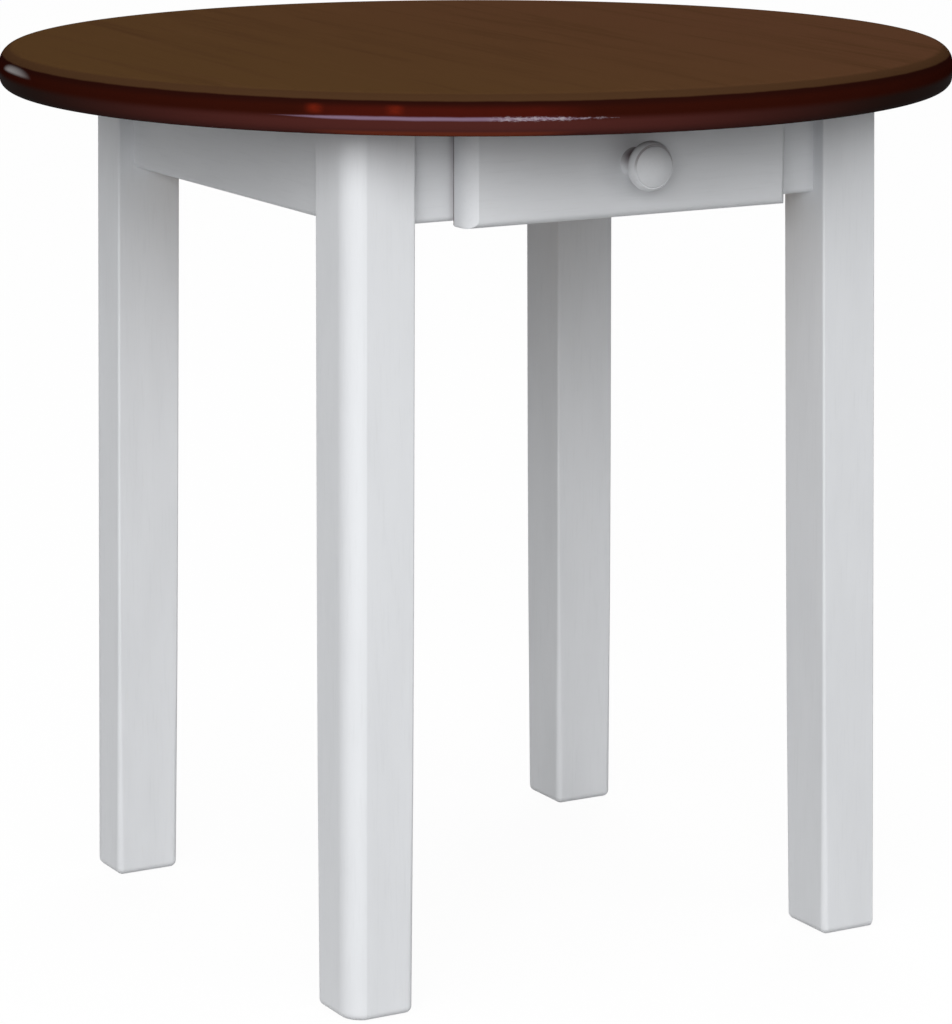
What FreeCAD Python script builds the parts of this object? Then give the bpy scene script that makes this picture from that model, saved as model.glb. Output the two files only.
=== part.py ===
import FreeCAD, Part
import math
import os

from FreeCAD import Vector

# Round table with one drawer, in millimetres. The origin is on the floor under the middle of the top,
# +Z is up, the drawer faces -Y and "left" is the left hand of someone facing the drawer.

# Table top
table_diameter = 800.0
table_height = 750.0
top_thickness = 32.5
top_upper_round = 14.0
top_lower_round = 8.0

# Legs, and how much further out than its head each foot stands, both ways
leg_width = 58.0
leg_splay = 10.0
leg_outer_round = 16.0
leg_edge_round = 3.0
foot_ease = 5.0

# Aprons, set back from the outer faces of the legs
apron_height = 81.5
apron_thickness = 20.0
apron_setback = 14.0
apron_edge_round = 5.0
sill_height = 16.0

# Corner braces: their rise over the sill, drop under the kickers and gap beside the drawer; hanger bolts
brace_thickness = 25.0
brace_rise = 3.0
brace_drop = 5.0
brace_gap = 4.5
brace_screw_spacing = 26.0
brace_screw_seat = 11.0
bolt_diameter = 8.0
bolt_depth_in_leg = 45.0
bolt_end = 4.0
washer_diameter = 24.0
washer_thickness = 2.0
nut_across_flats = 13.0
nut_height = 6.5

# Cleats between the aprons and the top
cleat_section = 20.0
cleat_length = 200.0
cleat_screw_inset = 30.0
cleat_screw_shift = 20.0

# Drawer box, the room behind it when it is shut and the depth of it that stays inside when it is open
drawer_box_width = 250.0
drawer_box_depth = 370.0
drawer_rear_room = 67.0
drawer_hold = 90.0
drawer_side_thickness = 12.0
drawer_back_thickness = 12.0
drawer_back_lift = 7.0
drawer_bottom_thickness = 4.0
groove_depth = 6.0
groove_rise = 8.0

# Drawer front, lapping over the frame on both sides
drawer_front_lap = 25.2
drawer_front_thickness = 27.0
drawer_front_face_cut = 9.5
drawer_front_side_cut = 18.0
drawer_front_drop = 3.5
drawer_front_gap = 2.5

# Runners, guides, kickers and the stop
runner_width = 36.0
guide_width = 16.0
guide_height = 18.0
guide_end_gap = 30.0
guide_screw_inset = 50.0
kicker_width = 20.0
kicker_thickness = 8.0
kicker_shortfall = 30.0
kicker_screw_inset = 40.0
stop_width = 20.0
stop_screw_inset = 50.0

# Knob, with heights measured out from the drawer front
knob_rise = 43.5
knob_diameter = 40.0
knob_base_diameter = 25.0
knob_neck_diameter = 18.0
knob_cove_height = 8.0
knob_back_diameter = 33.0
knob_back_height = 20.5
knob_rim_height = 24.0
knob_shoulder_height = 30.0
knob_cap_diameter = 33.0
knob_cap_step = 1.2
knob_length = 36.0
knob_screw_diameter = 4.0
knob_screw_depth = 18.0
knob_screw_head_diameter = 9.0
knob_screw_head_height = 2.5

# Wood screws and dowels
screw_diameter = 4.0
screw_head_diameter = 8.0
screw_head_height = 2.4
screw_head_land = 0.4
screw_tip = 5.0
brace_screw_length = 28.0
cleat_side_screw_length = 32.0
cleat_top_screw_length = 42.0
guide_screw_length = 30.0
kicker_screw_length = 24.0
back_screw_length = 36.0
back_screw_spacing = 26.0
pin_diameter = 2.0
pin_head_diameter = 3.6
pin_head_height = 1.2
pin_head_land = 0.3
pin_tip = 2.0
pin_length = 18.0
pin_clearance = 19.0
runner_dowel_diameter = 8.0
runner_dowel_in_apron = 12.0
runner_dowel_in_runner = 18.0
front_dowel_diameter = 6.0
front_dowel_in_front = 14.0
front_dowel_in_side = 18.0
front_dowel_spacing = 22.0

# Clearances: sliding faces, drawer to guides and kickers, drawer to opening, fixed fits; overrun of cuts
running_gap = 0.3
guide_gap = 1.0
kicker_gap = 1.7
opening_gap = 2.0
panel_gap = 0.2
fit_gap = 0.1
overrun = 5.0

# Places that follow from the sizes, with the frame set out round the drawer and the front braces beside it
top_underside = table_height - top_thickness
drawer_outer_x = drawer_box_width / 2
drawer_inner_x = drawer_outer_x - drawer_side_thickness
leg_overhang = leg_width - apron_setback - apron_thickness
leg_inner_x = drawer_outer_x + brace_gap + brace_thickness * math.sqrt(2) + leg_overhang
apron_inner_x = leg_inner_x + leg_overhang
apron_inner_y = (drawer_box_depth + drawer_rear_room - apron_thickness) / 2
leg_inner_y = apron_inner_y - leg_overhang
apron_outer_x = apron_inner_x + apron_thickness
apron_outer_y = apron_inner_y + apron_thickness
leg_axis_x = leg_inner_x + leg_width / 2
leg_axis_y = leg_inner_y + leg_width / 2
apron_bottom = top_underside - apron_height
sill_top = apron_bottom + sill_height
kicker_bottom = top_underside - kicker_thickness
brace_bottom = sill_top + brace_rise
brace_height = kicker_bottom - brace_drop - brace_bottom
brace_middle = brace_bottom + brace_height / 2
drawer_face_back = -apron_outer_y - running_gap
drawer_face_front = drawer_face_back - drawer_front_thickness
drawer_front_bottom = apron_bottom - drawer_front_drop
drawer_front_top = top_underside - drawer_front_gap
drawer_side_bottom = sill_top + running_gap
drawer_side_top = kicker_bottom - kicker_gap
drawer_end = drawer_face_back + drawer_box_depth
drawer_travel = drawer_box_depth - drawer_hold
drawer_front_width = drawer_box_width + 2 * drawer_front_lap
bottom_underside = drawer_side_bottom + groove_rise
bottom_upside = bottom_underside + drawer_bottom_thickness
guide_inner_x = drawer_outer_x + guide_gap
runner_outer_x = guide_inner_x + guide_width
runner_inner_x = runner_outer_x - runner_width
guide_length = 2 * (apron_inner_y - guide_end_gap)
kicker_inner_x = drawer_inner_x + opening_gap
kicker_front = -apron_inner_y
kicker_length = drawer_box_depth - kicker_shortfall
stop_back = drawer_end - drawer_back_thickness - drawer_travel - running_gap
joint_height = (bottom_upside + drawer_side_top) / 2
pin_spacing = drawer_outer_x - back_screw_length - pin_clearance
knob_height = drawer_front_bottom + knob_rise
brace_outer_line = leg_inner_x + leg_inner_y
brace_inner_line = brace_outer_line - brace_thickness * math.sqrt(2)
brace_middle_line = (brace_outer_line + brace_inner_line) / 2

corners = {"front_left": (-1, -1), "front_right": (1, -1), "back_left": (-1, 1), "back_right": (1, 1)}
sides = {"left": -1, "right": 1}
up = Vector(0, 0, 1)
down = Vector(0, 0, -1)
quarter_turn = 90
across = Vector(1, 0, 0)
to_front = Vector(0, -1, 0)
to_back = Vector(0, 1, 0)
wood_screw = (screw_diameter, screw_head_diameter, screw_head_height, screw_head_land, screw_tip)
bottom_pin = (pin_diameter, pin_head_diameter, pin_head_height, pin_head_land, pin_tip)


def block(x_range, y_range, z_range):
    low = Vector(min(x_range), min(y_range), min(z_range))
    size = Vector(max(x_range), max(y_range), max(z_range)) - low
    return Part.makeBox(size.x, size.y, size.z, low)


def line(start, end):
    return Part.makeLine(Vector(start[0], 0, start[1]), Vector(end[0], 0, end[1]))


def tangent_arc(start, end, tangent):
    # Arc of a turned profile that leaves its start along the tangent.
    start, end = (Vector(radius, 0, height) for radius, height in (start, end))
    chord = end - start
    normal = (chord - tangent * chord.dot(tangent)).normalize()
    radius = chord.Length ** 2 / (2 * chord.dot(normal))
    centre = start + normal * radius
    middle = (start - centre + end - centre).normalize()
    return Part.Arc(start, centre + middle * radius, end).toShape()


def turned(edges):
    face = Part.Face(Part.Wire(Part.sortEdges(edges)[0]))
    return face.revolve(Vector(0, 0, 0), up, 360)


def turned_outline(points):
    return turned([line(start, end) for start, end in zip(points, points[1:] + points[:1])])


def placed(shape, place, direction):
    moved = shape.copy()
    moved.Placement = FreeCAD.Placement(place, FreeCAD.Rotation(up, direction))
    return moved


def near(value, target):
    return math.isclose(value, target, abs_tol=fit_gap)


def edges_where(shape, test):
    return [edge for edge in shape.Edges if all(test(vertex.Point) for vertex in edge.Vertexes)]


def spread(spacing, count):
    return [spacing * (index - (count - 1) / 2) for index in range(count)]


def spread_within(length, inset, count):
    return spread((length - 2 * inset) / (count - 1), count)


def flush_screw(length, sizes, gap=0.0, rise=0.0):
    # Countersunk screw along -Z, its head flush with the origin. With a gap and a rise it is its own hole.
    shank, head, head_height, land, tip = sizes
    shank_radius = shank / 2 + gap
    head_radius = head / 2 + gap
    return turned_outline([
        (0, rise), (head_radius, rise), (head_radius, -land), (shank_radius, -head_height),
        (shank_radius, tip - length), (0, -length - gap)])


def seated_screw(length, sizes, gap=0.0, rise=0.0):
    # Flat-seated screw along -Z, its head standing on the origin. With a gap and a rise it is its own hole.
    shank, head, head_height, land, tip = sizes
    shank_radius = shank / 2 + gap
    head_radius = head / 2 + gap
    head_top = head_height + rise
    return turned_outline([
        (0, head_top), (head_radius - land, head_top), (head_radius, head_top - land), (head_radius, 0),
        (shank_radius, 0), (shank_radius, tip - length), (0, -length - gap)])


def screws_at(places, length, kind=flush_screw, sizes=wood_screw):
    return [placed(kind(length, sizes), place, direction) for place, direction in places]


def holes_at(places, length, kind=flush_screw, sizes=wood_screw, rise=overrun):
    hole = kind(length, sizes, fit_gap, rise)
    return [placed(hole, place, direction) for place, direction in places]


def dowels_at(places, diameter, length, gap=0.0):
    dowel = Part.makeCylinder(diameter / 2 + gap, length + 2 * gap, Vector(0, 0, -gap))
    return [placed(dowel, place, direction) for place, direction in places]


def group(shapes):
    return Part.makeCompound(shapes)


# Places of the screws, bolts and dowels: each is a point and the way its head faces or its dowel runs

cleat_screw_shifts = spread_within(cleat_length, cleat_screw_inset, 2)
guide_screw_shifts = spread_within(guide_length, guide_screw_inset, 3)
kicker_screw_shifts = spread_within(kicker_length, kicker_screw_inset, 3)
stop_screw_shifts = spread_within(2 * kicker_inner_x, stop_screw_inset, 2)


def brace_screw_places(side_x, side_y):
    places = []
    for shift in spread(brace_screw_spacing, 2):
        height = brace_middle + shift
        seat_x = side_x * (apron_inner_x - brace_screw_seat)
        seat_y = side_y * (apron_inner_y - brace_screw_seat)
        along_y = side_y * (brace_middle_line - apron_inner_x)
        along_x = side_x * (brace_middle_line - apron_inner_y)
        places.append((Vector(seat_x, along_y, height), Vector(-side_x, 0, 0)))
        places.append((Vector(along_x, seat_y, height), Vector(0, -side_y, 0)))
    return places


def bolt_place(side_x, side_y, depth):
    # Point on the bolt's axis, at this depth from the inner corner of the leg, and the way inwards.
    offset = depth / math.sqrt(2)
    point = Vector(side_x * (leg_inner_x + offset), side_y * (leg_inner_y + offset), brace_middle)
    return point, Vector(-side_x, -side_y, 0)


def cleat_side_places(side):
    inner = side * (apron_inner_x - cleat_section)
    height = top_underside - cleat_section / 2
    return [(Vector(inner, y, height), Vector(-side, 0, 0)) for y in cleat_screw_shifts]


def cleat_top_places(side):
    middle = side * (apron_inner_x - cleat_section / 2)
    start = top_underside - cleat_section
    return [(Vector(middle, y + cleat_screw_shift, start), down) for y in cleat_screw_shifts]


def back_cleat_side_places():
    height = top_underside - cleat_section / 2
    inner = apron_inner_y - cleat_section
    return [(Vector(x, inner, height), to_front) for x in cleat_screw_shifts]


def back_cleat_top_places():
    middle = apron_inner_y - cleat_section / 2
    start = top_underside - cleat_section
    return [(Vector(x + cleat_screw_shift, middle, start), down) for x in cleat_screw_shifts]


def runner_dowel_places(side):
    middle = side * (runner_inner_x + runner_outer_x) / 2
    height = apron_bottom + sill_height / 2
    depth = apron_inner_y + runner_dowel_in_apron
    return [(Vector(middle, -depth, height), to_back), (Vector(middle, depth, height), to_front)]


def guide_screw_places(side):
    middle = side * (guide_inner_x + guide_width / 2)
    height = sill_top + guide_height
    return [(Vector(middle, y, height), up) for y in guide_screw_shifts]


def kicker_screw_places(side):
    middle = side * (kicker_inner_x + kicker_width / 2)
    centre = kicker_front + kicker_length / 2
    return [(Vector(middle, centre + y, kicker_bottom), down) for y in kicker_screw_shifts]


def stop_screw_places():
    middle = stop_back - stop_width / 2
    return [(Vector(x, middle, kicker_bottom), down) for x in stop_screw_shifts]


def front_dowel_places(side):
    middle = side * (drawer_inner_x + drawer_outer_x) / 2
    start = drawer_face_back - front_dowel_in_front
    return [(Vector(middle, start, joint_height + z), to_back) for z in spread(front_dowel_spacing, 2)]


def back_screw_places(side):
    middle = drawer_end - drawer_back_thickness / 2
    outer = side * drawer_outer_x
    outwards = Vector(side, 0, 0)
    return [(Vector(outer, middle, joint_height + z), outwards) for z in spread(back_screw_spacing, 2)]


def pin_places():
    middle = drawer_end - drawer_back_thickness / 2
    return [(Vector(x, middle, bottom_underside), down) for x in spread(pin_spacing, 3)]


knob_screw_place = [(Vector(0, drawer_face_back, knob_height), to_back)]
knob_screw_length = drawer_front_thickness + knob_screw_depth
knob_screw_sizes = (
    knob_screw_diameter, knob_screw_head_diameter, knob_screw_head_height, screw_head_land, screw_tip)
bolt_length = bolt_depth_in_leg + brace_thickness + washer_thickness + nut_height + bolt_end
runner_dowel_length = runner_dowel_in_apron + runner_dowel_in_runner
front_dowel_length = front_dowel_in_front + front_dowel_in_side


# Top, legs and aprons

def make_table_top():
    radius = table_diameter / 2
    lower = top_underside + top_lower_round
    upper = table_height - top_upper_round
    top = turned([
        line((0, top_underside), (radius - top_lower_round, top_underside)),
        tangent_arc((radius, lower), (radius - top_lower_round, top_underside), up),
        line((radius, lower), (radius, upper)),
        tangent_arc((radius, upper), (radius - top_upper_round, table_height), up),
        line((radius - top_upper_round, table_height), (0, table_height)),
        line((0, table_height), (0, top_underside))])
    holes = holes_at(back_cleat_top_places(), cleat_top_screw_length)
    holes += holes_at(stop_screw_places(), kicker_screw_length)
    for side in sides.values():
        holes += holes_at(cleat_top_places(side), cleat_top_screw_length)
        holes += holes_at(kicker_screw_places(side), kicker_screw_length)
    return top.cut(holes)


def leg_section(side_x, side_y, height, inset):
    # Square outline of a leg, drawn in by the inset, with the large round on the corner furthest from the
    # middle of the table. The leg leans, so the outline moves inwards with its height.
    half = leg_width / 2 - inset
    lean = leg_splay * (1 - height / top_underside)
    middle = Vector(side_x * (leg_axis_x + lean), side_y * (leg_axis_y + lean), height)
    ends = []
    edges = []
    for x, y in ((-1, -1), (1, -1), (1, 1), (-1, 1)):
        rounding = leg_outer_round if (x, y) == (side_x, side_y) else leg_edge_round
        centre = middle + Vector(x * (half - rounding), y * (half - rounding), 0)
        on_x = centre + Vector(x * rounding, 0, 0)
        on_y = centre + Vector(0, y * rounding, 0)
        on_arc = centre + Vector(x, y, 0) * (rounding / math.sqrt(2))
        first, last = (on_x, on_y) if x * y > 0 else (on_y, on_x)
        edges.append(Part.Arc(first, on_arc, last).toShape())
        ends.append((first, last))
    for (_, last), (first, _) in zip(ends, ends[1:] + ends[:1]):
        edges.append(Part.makeLine(last, first))
    return Part.Wire(Part.sortEdges(edges)[0])


def leg_from(side_x, side_y, height):
    # The part of a leg above this height, without its bolt hole.
    rise = Vector(-side_x * leg_splay, -side_y * leg_splay, top_underside) * (1 - height / top_underside)
    return Part.Face(leg_section(side_x, side_y, height, 0)).extrude(rise)


def make_leg(side_x, side_y):
    sole = leg_section(side_x, side_y, 0, foot_ease)
    foot = Part.makeLoft([sole, leg_section(side_x, side_y, foot_ease, 0)], True, True)
    leg = foot.fuse(leg_from(side_x, side_y, foot_ease)).removeSplitter()
    start, inwards = bolt_place(side_x, side_y, bolt_depth_in_leg)
    return leg.cut(dowels_at([(start, inwards)], bolt_diameter, bolt_length, fit_gap))


def make_side_apron(side):
    height = (apron_bottom, top_underside)
    apron = block((side * apron_inner_x, side * apron_outer_x), (-leg_axis_y, leg_axis_y), height)
    lower_edge = edges_where(
        apron, lambda point: near(point.x, side * apron_outer_x) and near(point.z, apron_bottom))
    apron = apron.makeFillet(apron_edge_round, lower_edge)
    holes = holes_at(cleat_side_places(side), cleat_side_screw_length)
    for side_y in (-1, 1):
        holes += holes_at(brace_screw_places(side, side_y), brace_screw_length, seated_screw)
    legs = [leg_from(side, side_y, 0) for side_y in (-1, 1)]
    return apron.cut(legs + holes)


def make_end_apron(side):
    height = (apron_bottom, top_underside)
    apron = block((-leg_axis_x, leg_axis_x), (side * apron_inner_y, side * apron_outer_y), height)
    lower_edge = edges_where(
        apron, lambda point: near(point.y, side * apron_outer_y) and near(point.z, apron_bottom))
    apron = apron.makeFillet(apron_edge_round, lower_edge)
    holes = []
    for side_x in sides.values():
        holes += holes_at(brace_screw_places(side_x, side), brace_screw_length, seated_screw)
        holes += dowels_at(runner_dowel_places(side_x), runner_dowel_diameter, runner_dowel_length, fit_gap)
    legs = [leg_from(side_x, side, 0) for side_x in sides.values()]
    return apron.cut(legs + holes)


def make_apron_front():
    half = drawer_outer_x + opening_gap
    depth = (-apron_inner_y + overrun, -apron_outer_y - overrun)
    opening = block((-half, half), depth, (sill_top, top_underside + overrun))
    return make_end_apron(-1).cut(opening)


def make_apron_back():
    return make_end_apron(1).cut(holes_at(back_cleat_side_places(), cleat_side_screw_length))


# Corner braces with their bolts, and the cleats under the top

def make_corner_brace(side_x, side_y):
    plan = [
        (apron_inner_x, brace_outer_line - apron_inner_x), (brace_outer_line - apron_inner_y, apron_inner_y),
        (brace_inner_line - apron_inner_y, apron_inner_y), (apron_inner_x, brace_inner_line - apron_inner_x)]
    points = [Vector(side_x * x, side_y * y, brace_bottom) for x, y in plan]
    face = Part.Face(Part.makePolygon(points + points[:1]))
    brace = face.extrude(Vector(0, 0, brace_height))
    start, inwards = bolt_place(side_x, side_y, bolt_depth_in_leg)
    holes = dowels_at([(start, inwards)], bolt_diameter, bolt_length, fit_gap)
    holes += holes_at(
        brace_screw_places(side_x, side_y), brace_screw_length, seated_screw, rise=brace_thickness)
    return brace.cut(holes)


def make_hanger_bolts():
    places = [bolt_place(x, y, bolt_depth_in_leg) for x, y in corners.values()]
    return group(dowels_at(places, bolt_diameter, bolt_length))


def make_bolt_washers():
    ring = Part.makeCylinder(washer_diameter / 2, washer_thickness)
    ring = ring.cut(Part.makeCylinder(bolt_diameter / 2 + fit_gap, washer_thickness))
    return group([placed(ring, *bolt_place(x, y, -brace_thickness)) for x, y in corners.values()])


def make_bolt_nuts():
    across_corners = nut_across_flats / math.sqrt(3)
    angles = [math.pi / 3 * index for index in range(6)]
    points = [Vector(math.cos(angle), math.sin(angle), 0) * across_corners for angle in angles]
    nut = Part.Face(Part.makePolygon(points + points[:1])).extrude(Vector(0, 0, nut_height))
    nut = nut.cut(Part.makeCylinder(bolt_diameter / 2 + fit_gap, nut_height))
    depth = -brace_thickness - washer_thickness
    return group([placed(nut, *bolt_place(x, y, depth)) for x, y in corners.values()])


def make_brace_screws():
    screws = []
    for side_x, side_y in corners.values():
        screws += screws_at(brace_screw_places(side_x, side_y), brace_screw_length, seated_screw)
    return group(screws)


def make_cleat(side):
    height = (top_underside - cleat_section, top_underside)
    width = (side * (apron_inner_x - cleat_section), side * apron_inner_x)
    cleat = block(width, (-cleat_length / 2, cleat_length / 2), height)
    holes = holes_at(cleat_side_places(side), cleat_side_screw_length)
    return cleat.cut(holes + holes_at(cleat_top_places(side), cleat_top_screw_length))


def make_back_cleat():
    height = (top_underside - cleat_section, top_underside)
    depth = (apron_inner_y - cleat_section, apron_inner_y)
    cleat = block((-cleat_length / 2, cleat_length / 2), depth, height)
    holes = holes_at(back_cleat_side_places(), cleat_side_screw_length)
    return cleat.cut(holes + holes_at(back_cleat_top_places(), cleat_top_screw_length))


def make_cleat_side_screws():
    places = cleat_side_places(-1) + cleat_side_places(1) + back_cleat_side_places()
    return group(screws_at(places, cleat_side_screw_length))


def make_cleat_top_screws():
    places = cleat_top_places(-1) + cleat_top_places(1) + back_cleat_top_places()
    return group(screws_at(places, cleat_top_screw_length))


# Rails that carry, steer, hold down and stop the drawer

def make_runner(side):
    width = (side * runner_inner_x, side * runner_outer_x)
    runner = block(width, (-apron_inner_y, apron_inner_y), (apron_bottom, sill_top))
    holes = dowels_at(runner_dowel_places(side), runner_dowel_diameter, runner_dowel_length, fit_gap)
    return runner.cut(holes + holes_at(guide_screw_places(side), guide_screw_length))


def make_runner_dowels():
    places = runner_dowel_places(-1) + runner_dowel_places(1)
    return group(dowels_at(places, runner_dowel_diameter, runner_dowel_length))


def make_guide(side):
    width = (side * guide_inner_x, side * (guide_inner_x + guide_width))
    guide = block(width, (-guide_length / 2, guide_length / 2), (sill_top, sill_top + guide_height))
    return guide.cut(holes_at(guide_screw_places(side), guide_screw_length))


def make_guide_screws():
    return group(screws_at(guide_screw_places(-1) + guide_screw_places(1), guide_screw_length))


def make_kicker(side):
    width = (side * kicker_inner_x, side * (kicker_inner_x + kicker_width))
    height = (kicker_bottom, top_underside)
    kicker = block(width, (kicker_front, kicker_front + kicker_length), height)
    return kicker.cut(holes_at(kicker_screw_places(side), kicker_screw_length))


def make_drawer_stop():
    height = (kicker_bottom, top_underside)
    stop = block((-kicker_inner_x, kicker_inner_x), (stop_back - stop_width, stop_back), height)
    return stop.cut(holes_at(stop_screw_places(), kicker_screw_length))


def make_kicker_screws():
    places = kicker_screw_places(-1) + kicker_screw_places(1) + stop_screw_places()
    return group(screws_at(places, kicker_screw_length))


# Drawer

def make_groove(front, back):
    half = drawer_inner_x + groove_depth
    height = (bottom_underside - panel_gap, bottom_upside + panel_gap)
    return block((-half, half), (front, back), height)


def edged_board(width, length):
    # Board whose two long edges curve in to a crisp line on its face, which looks up.
    half = width / 2
    face_half = half - drawer_front_face_cut
    face_height = drawer_front_thickness
    shoulder = face_height - drawer_front_side_cut
    edges = [line((-half, 0), (half, 0)), line((-face_half, face_height), (face_half, face_height))]
    for side in sides.values():
        edges.append(line((side * half, 0), (side * half, shoulder)))
        edges.append(tangent_arc((side * half, shoulder), (side * face_half, face_height), up))
    section = Part.Face(Part.Wire(Part.sortEdges(edges)[0]))
    section.translate(Vector(0, -length / 2, 0))
    return section.extrude(Vector(0, length, 0))


def make_drawer_front():
    # The four edges curve alike and meet in mitres at the corners.
    height = drawer_front_top - drawer_front_bottom
    lying = edged_board(height, drawer_front_width)
    lying.rotate(Vector(0, 0, 0), up, quarter_turn)
    front = edged_board(drawer_front_width, height).common(lying)
    front = placed(front, Vector(0, drawer_face_back, drawer_front_bottom + height / 2), to_front)
    holes = [make_groove(drawer_face_back - groove_depth, drawer_face_back + overrun)]
    holes += holes_at(knob_screw_place, knob_screw_length, seated_screw, knob_screw_sizes)
    for side in sides.values():
        holes += dowels_at(front_dowel_places(side), front_dowel_diameter, front_dowel_length, fit_gap)
    return front.cut(holes)


def make_drawer_side(side):
    width = (side * drawer_inner_x, side * drawer_outer_x)
    board = block(width, (drawer_face_back, drawer_end), (drawer_side_bottom, drawer_side_top))
    holes = [make_groove(drawer_face_back - overrun, drawer_end + overrun)]
    holes += dowels_at(front_dowel_places(side), front_dowel_diameter, front_dowel_length, fit_gap)
    return board.cut(holes + holes_at(back_screw_places(side), back_screw_length))


def make_drawer_back():
    width = (-drawer_inner_x, drawer_inner_x)
    depth = (drawer_end - drawer_back_thickness, drawer_end)
    board = block(width, depth, (bottom_upside, drawer_side_top + drawer_back_lift))
    holes = holes_at(pin_places(), pin_length, sizes=bottom_pin)
    for side in sides.values():
        holes += holes_at(back_screw_places(side), back_screw_length)
    return board.cut(holes)


def make_drawer_bottom():
    half = drawer_inner_x + groove_depth - panel_gap
    depth = (drawer_face_back - groove_depth + panel_gap, drawer_end)
    panel = block((-half, half), depth, (bottom_underside, bottom_upside))
    return panel.cut(holes_at(pin_places(), pin_length, sizes=bottom_pin))


def make_front_dowels():
    places = front_dowel_places(-1) + front_dowel_places(1)
    return group(dowels_at(places, front_dowel_diameter, front_dowel_length))


def make_back_screws():
    return group(screws_at(back_screw_places(-1) + back_screw_places(1), back_screw_length))


def make_bottom_pins():
    return group(screws_at(pin_places(), pin_length, sizes=bottom_pin))


def make_drawer_knob():
    base = knob_base_diameter / 2
    neck = knob_neck_diameter / 2
    back = knob_back_diameter / 2
    rim = knob_diameter / 2
    cap = knob_cap_diameter / 2
    shoulder = cap + knob_cap_step
    cap_edge = knob_shoulder_height + knob_cap_step
    knob = turned([
        line((0, 0), (base, 0)),
        tangent_arc((neck, knob_cove_height), (base, 0), down),
        line((neck, knob_cove_height), (neck, knob_back_height)),
        line((neck, knob_back_height), (back, knob_back_height)),
        tangent_arc((rim, knob_rim_height), (back, knob_back_height), down),
        tangent_arc((rim, knob_rim_height), (shoulder, knob_shoulder_height), up),
        line((shoulder, knob_shoulder_height), (cap, knob_shoulder_height)),
        line((cap, knob_shoulder_height), (cap, cap_edge)),
        tangent_arc((0, knob_length), (cap, cap_edge), across),
        line((0, knob_length), (0, 0))])
    knob = placed(knob, Vector(0, drawer_face_front, knob_height), to_front)
    return knob.cut(holes_at(knob_screw_place, knob_screw_length, seated_screw, knob_screw_sizes))


def make_knob_screw():
    return group(screws_at(knob_screw_place, knob_screw_length, seated_screw, knob_screw_sizes))


def make_pieces():
    pieces = {
        "table_top": make_table_top(),
        "apron_front": make_apron_front(),
        "apron_back": make_apron_back(),
        "hanger_bolts": make_hanger_bolts(),
        "bolt_washers": make_bolt_washers(),
        "bolt_nuts": make_bolt_nuts(),
        "brace_screws": make_brace_screws(),
        "cleat_back": make_back_cleat(),
        "cleat_side_screws": make_cleat_side_screws(),
        "cleat_top_screws": make_cleat_top_screws(),
        "runner_dowels": make_runner_dowels(),
        "guide_screws": make_guide_screws(),
        "drawer_stop": make_drawer_stop(),
        "kicker_screws": make_kicker_screws(),
        "drawer_front": make_drawer_front(),
        "drawer_back": make_drawer_back(),
        "drawer_bottom": make_drawer_bottom(),
        "front_dowels": make_front_dowels(),
        "back_screws": make_back_screws(),
        "bottom_pins": make_bottom_pins(),
        "drawer_knob": make_drawer_knob(),
        "knob_screw": make_knob_screw()}
    for name, (side_x, side_y) in corners.items():
        pieces["leg_" + name] = make_leg(side_x, side_y)
        pieces["corner_brace_" + name] = make_corner_brace(side_x, side_y)
    for name, side in sides.items():
        pieces["apron_" + name] = make_side_apron(side)
        pieces["cleat_" + name] = make_cleat(side)
        pieces["drawer_runner_" + name] = make_runner(side)
        pieces["drawer_guide_" + name] = make_guide(side)
        pieces["drawer_kicker_" + name] = make_kicker(side)
        pieces["drawer_side_" + name] = make_drawer_side(side)
    return pieces


os.makedirs("parts", exist_ok=True)
for piece_name, piece in make_pieces().items():
    piece.exportStep("parts/" + piece_name + ".step")
    print(piece_name, len(piece.Solids), piece.isValid(), round(piece.Volume))
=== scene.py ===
import math
import bmesh
import bpy
import numpy as np
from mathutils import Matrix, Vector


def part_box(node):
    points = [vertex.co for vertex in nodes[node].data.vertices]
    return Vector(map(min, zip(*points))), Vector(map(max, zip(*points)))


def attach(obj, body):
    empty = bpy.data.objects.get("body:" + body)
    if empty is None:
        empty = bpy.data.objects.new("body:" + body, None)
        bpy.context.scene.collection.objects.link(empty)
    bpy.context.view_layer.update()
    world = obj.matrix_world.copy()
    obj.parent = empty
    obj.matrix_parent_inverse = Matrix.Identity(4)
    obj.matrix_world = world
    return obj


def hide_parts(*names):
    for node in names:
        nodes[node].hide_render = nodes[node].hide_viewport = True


# Round table with a drawer, in metres: the drawer faces -Y, +Z is up and the feet stand on z = 0.
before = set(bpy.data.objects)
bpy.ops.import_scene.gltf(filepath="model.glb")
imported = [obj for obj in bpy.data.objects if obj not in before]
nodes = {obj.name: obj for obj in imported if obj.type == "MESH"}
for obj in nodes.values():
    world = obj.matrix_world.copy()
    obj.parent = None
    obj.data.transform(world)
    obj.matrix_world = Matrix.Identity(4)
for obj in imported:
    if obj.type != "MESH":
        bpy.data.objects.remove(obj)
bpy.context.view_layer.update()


# Surfaces

def arcPoints(centre, radius, startAngle, endAngle, count):
    # centre + radius * (cos a, sin a), with a running from startAngle to endAngle in degrees
    angle = np.radians(np.linspace(startAngle, endAngle, count))
    return np.array(centre) + radius * np.stack([np.cos(angle), np.sin(angle)], axis=1)


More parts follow.
